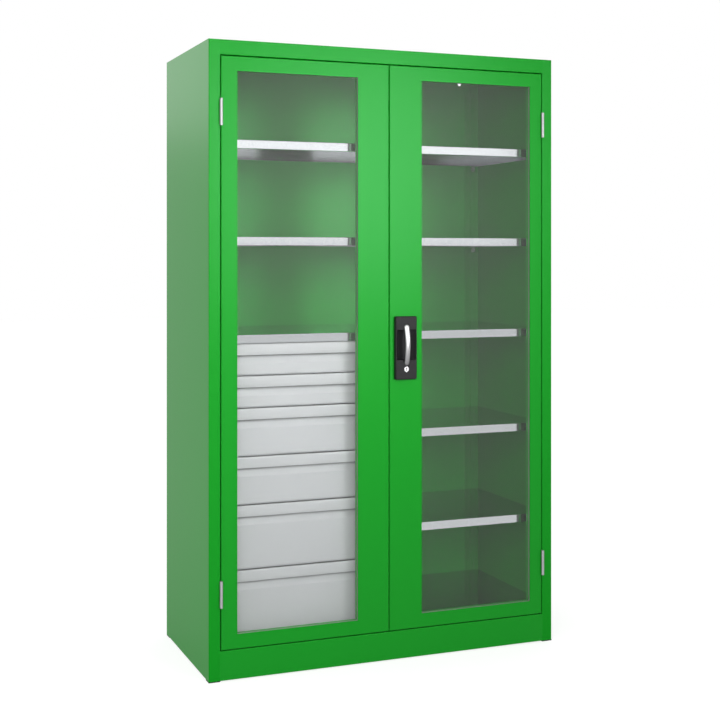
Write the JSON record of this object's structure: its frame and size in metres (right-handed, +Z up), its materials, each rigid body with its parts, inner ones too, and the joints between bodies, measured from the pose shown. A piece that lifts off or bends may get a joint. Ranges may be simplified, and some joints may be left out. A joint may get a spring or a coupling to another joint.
{
  "type": "heavy-duty cabinet",
  "caption": "Tall steel cabinet with two glazed hinged doors, a turning bow handle with lock, galvanised shelves and a stack of drawers behind the left door.",
  "frame": {"origin": "on the floor, under the middle of the whole box that holds the cabinet and its handle", "axes": "+X to the right seen from the front, +Y to the back, +Z up"},
  "size_m": [1.2, 0.5314, 1.95],
  "materials": {
    "green_paint": "satin powder coat",
    "galvanised_steel": "galvanised",
    "grey_paint": "satin powder coat",
    "bright_steel": "satin",
    "dark_steel": "plain",
    "silver_metal": "satin chrome",
    "black_plastic": "fine grain",
    "black_rubber": "matt",
    "clear_glass": "clear"
  },
  "bodies": {
    "carcass": {"left_side_panel": "green_paint", "right_side_panel": "green_paint", "back_panel": "green_paint", "top_panel": "green_paint", "floor_panel": "green_paint", "plinth_panel": "green_paint", "left_partition_panel": "green_paint", "right_partition_panel": "green_paint", "shelf_strips": "green_paint", "top_shelf": "galvanised_steel", "upper_shelf": "galvanised_steel", "middle_shelf": "galvanised_steel", "right_lower_shelf": "galvanised_steel", "right_bottom_shelf": "galvanised_steel", "shelf_clips": "galvanised_steel", "drawer_housing_plates": "grey_paint", "drawer_rails": "bright_steel", "floor_glides": "black_plastic", "frame_knuckles": "bright_steel"},
    "left_door": {"left_door_panel": "green_paint", "left_door_inner_frame": "green_paint", "left_door_gasket": "black_rubber", "left_door_glass": "clear_glass", "left_door_knuckles": "bright_steel"},
    "right_door": {"right_door_panel": "green_paint", "right_door_inner_frame": "green_paint", "right_door_gasket": "black_rubber", "right_door_glass": "clear_glass", "right_door_knuckles": "bright_steel", "handle_dish": "black_plastic", "lock_case": "dark_steel", "rod_guides": "black_plastic"},
    "handle": {"bow_handle": "silver_metal", "drive_pinion": "dark_steel"},
    "upper_rod": {"upper_rod": "dark_steel"},
    "lower_rod": {"lower_rod": "dark_steel"},
    "lock_cylinder": {"lock_cylinder": "silver_metal", "lock_cam": "dark_steel"},
    "drawer_1": {"drawer_1_front": "grey_paint", "drawer_1_box": "grey_paint", "drawer_1_runners": "bright_steel"},
    "drawer_2": {"drawer_2_front": "grey_paint", "drawer_2_box": "grey_paint", "drawer_2_runners": "bright_steel"},
    "drawer_3": {"drawer_3_front": "grey_paint", "drawer_3_box": "grey_paint", "drawer_3_runners": "bright_steel"},
    "drawer_4": {"drawer_4_front": "grey_paint", "drawer_4_box": "grey_paint", "drawer_4_runners": "bright_steel"},
    "drawer_5": {"drawer_5_front": "grey_paint", "drawer_5_box": "grey_paint", "drawer_5_runners": "bright_steel"},
    "drawer_6": {"drawer_6_front": "grey_paint", "drawer_6_box": "grey_paint", "drawer_6_runners": "bright_steel"}
  },
  "joints": [
    {"name": "left_door_hinge", "type": "hinge", "parent": "carcass", "child": "left_door", "pos_m": [-0.562, -0.2398, 0.99775], "axis": [0, 0, -1], "range_deg": [0, 180]},
    {"name": "right_door_hinge", "type": "hinge", "parent": "carcass", "child": "right_door", "pos_m": [0.562, -0.2398, 0.99775], "axis": [0, 0, 1], "range_deg": [0, 180]},
    {"name": "handle_turn", "type": "hinge", "parent": "right_door", "child": "handle", "pos_m": [0.0543, -0.2343, 1.06375], "axis": [0, -1, 0], "range_deg": [0, 90]},
    {"name": "upper_rod_slide", "type": "slide", "parent": "right_door", "child": "upper_rod", "axis": [0, 0, 1], "range_m": [0, 0.019]},
    {"name": "lower_rod_slide", "type": "slide", "parent": "right_door", "child": "lower_rod", "axis": [0, 0, -1], "range_m": [0, 0.019]},
    {"name": "key_turn", "type": "hinge", "parent": "right_door", "child": "lock_cylinder", "pos_m": [0.0543, -0.2343, 0.92975], "axis": [0, -1, 0], "range_deg": [0, 90]},
    {"name": "drawer_1_slide", "type": "slide", "parent": "carcass", "child": "drawer_1", "axis": [0, -1, 0], "range_m": [0, 0.283]},
    {"name": "drawer_2_slide", "type": "slide", "parent": "carcass", "child": "drawer_2", "axis": [0, -1, 0], "range_m": [0, 0.283]},
    {"name": "drawer_3_slide", "type": "slide", "parent": "carcass", "child": "drawer_3", "axis": [0, -1, 0], "range_m": [0, 0.283]},
    {"name": "drawer_4_slide", "type": "slide", "parent": "carcass", "child": "drawer_4", "axis": [0, -1, 0], "range_m": [0, 0.283]},
    {"name": "drawer_5_slide", "type": "slide", "parent": "carcass", "child": "drawer_5", "axis": [0, -1, 0], "range_m": [0, 0.283]},
    {"name": "drawer_6_slide", "type": "slide", "parent": "carcass", "child": "drawer_6", "axis": [0, -1, 0], "range_m": [0, 0.283]}
  ],
  "couplings": [
    {"joint": "upper_rod_slide", "follows": "handle_turn", "m_per_rad": 0.012},
    {"joint": "lower_rod_slide", "follows": "handle_turn", "m_per_rad": 0.012},
    {"joint": "drawer_1_slide", "follows": "left_door_hinge", "m_per_rad": 0.09},
    {"joint": "drawer_2_slide", "follows": "left_door_hinge", "m_per_rad": 0.09},
    {"joint": "drawer_3_slide", "follows": "left_door_hinge", "m_per_rad": 0.09},
    {"joint": "drawer_4_slide", "follows": "left_door_hinge", "m_per_rad": 0.09},
    {"joint": "drawer_5_slide", "follows": "left_door_hinge", "m_per_rad": 0.09},
    {"joint": "drawer_6_slide", "follows": "left_door_hinge", "m_per_rad": 0.09}
  ]
}
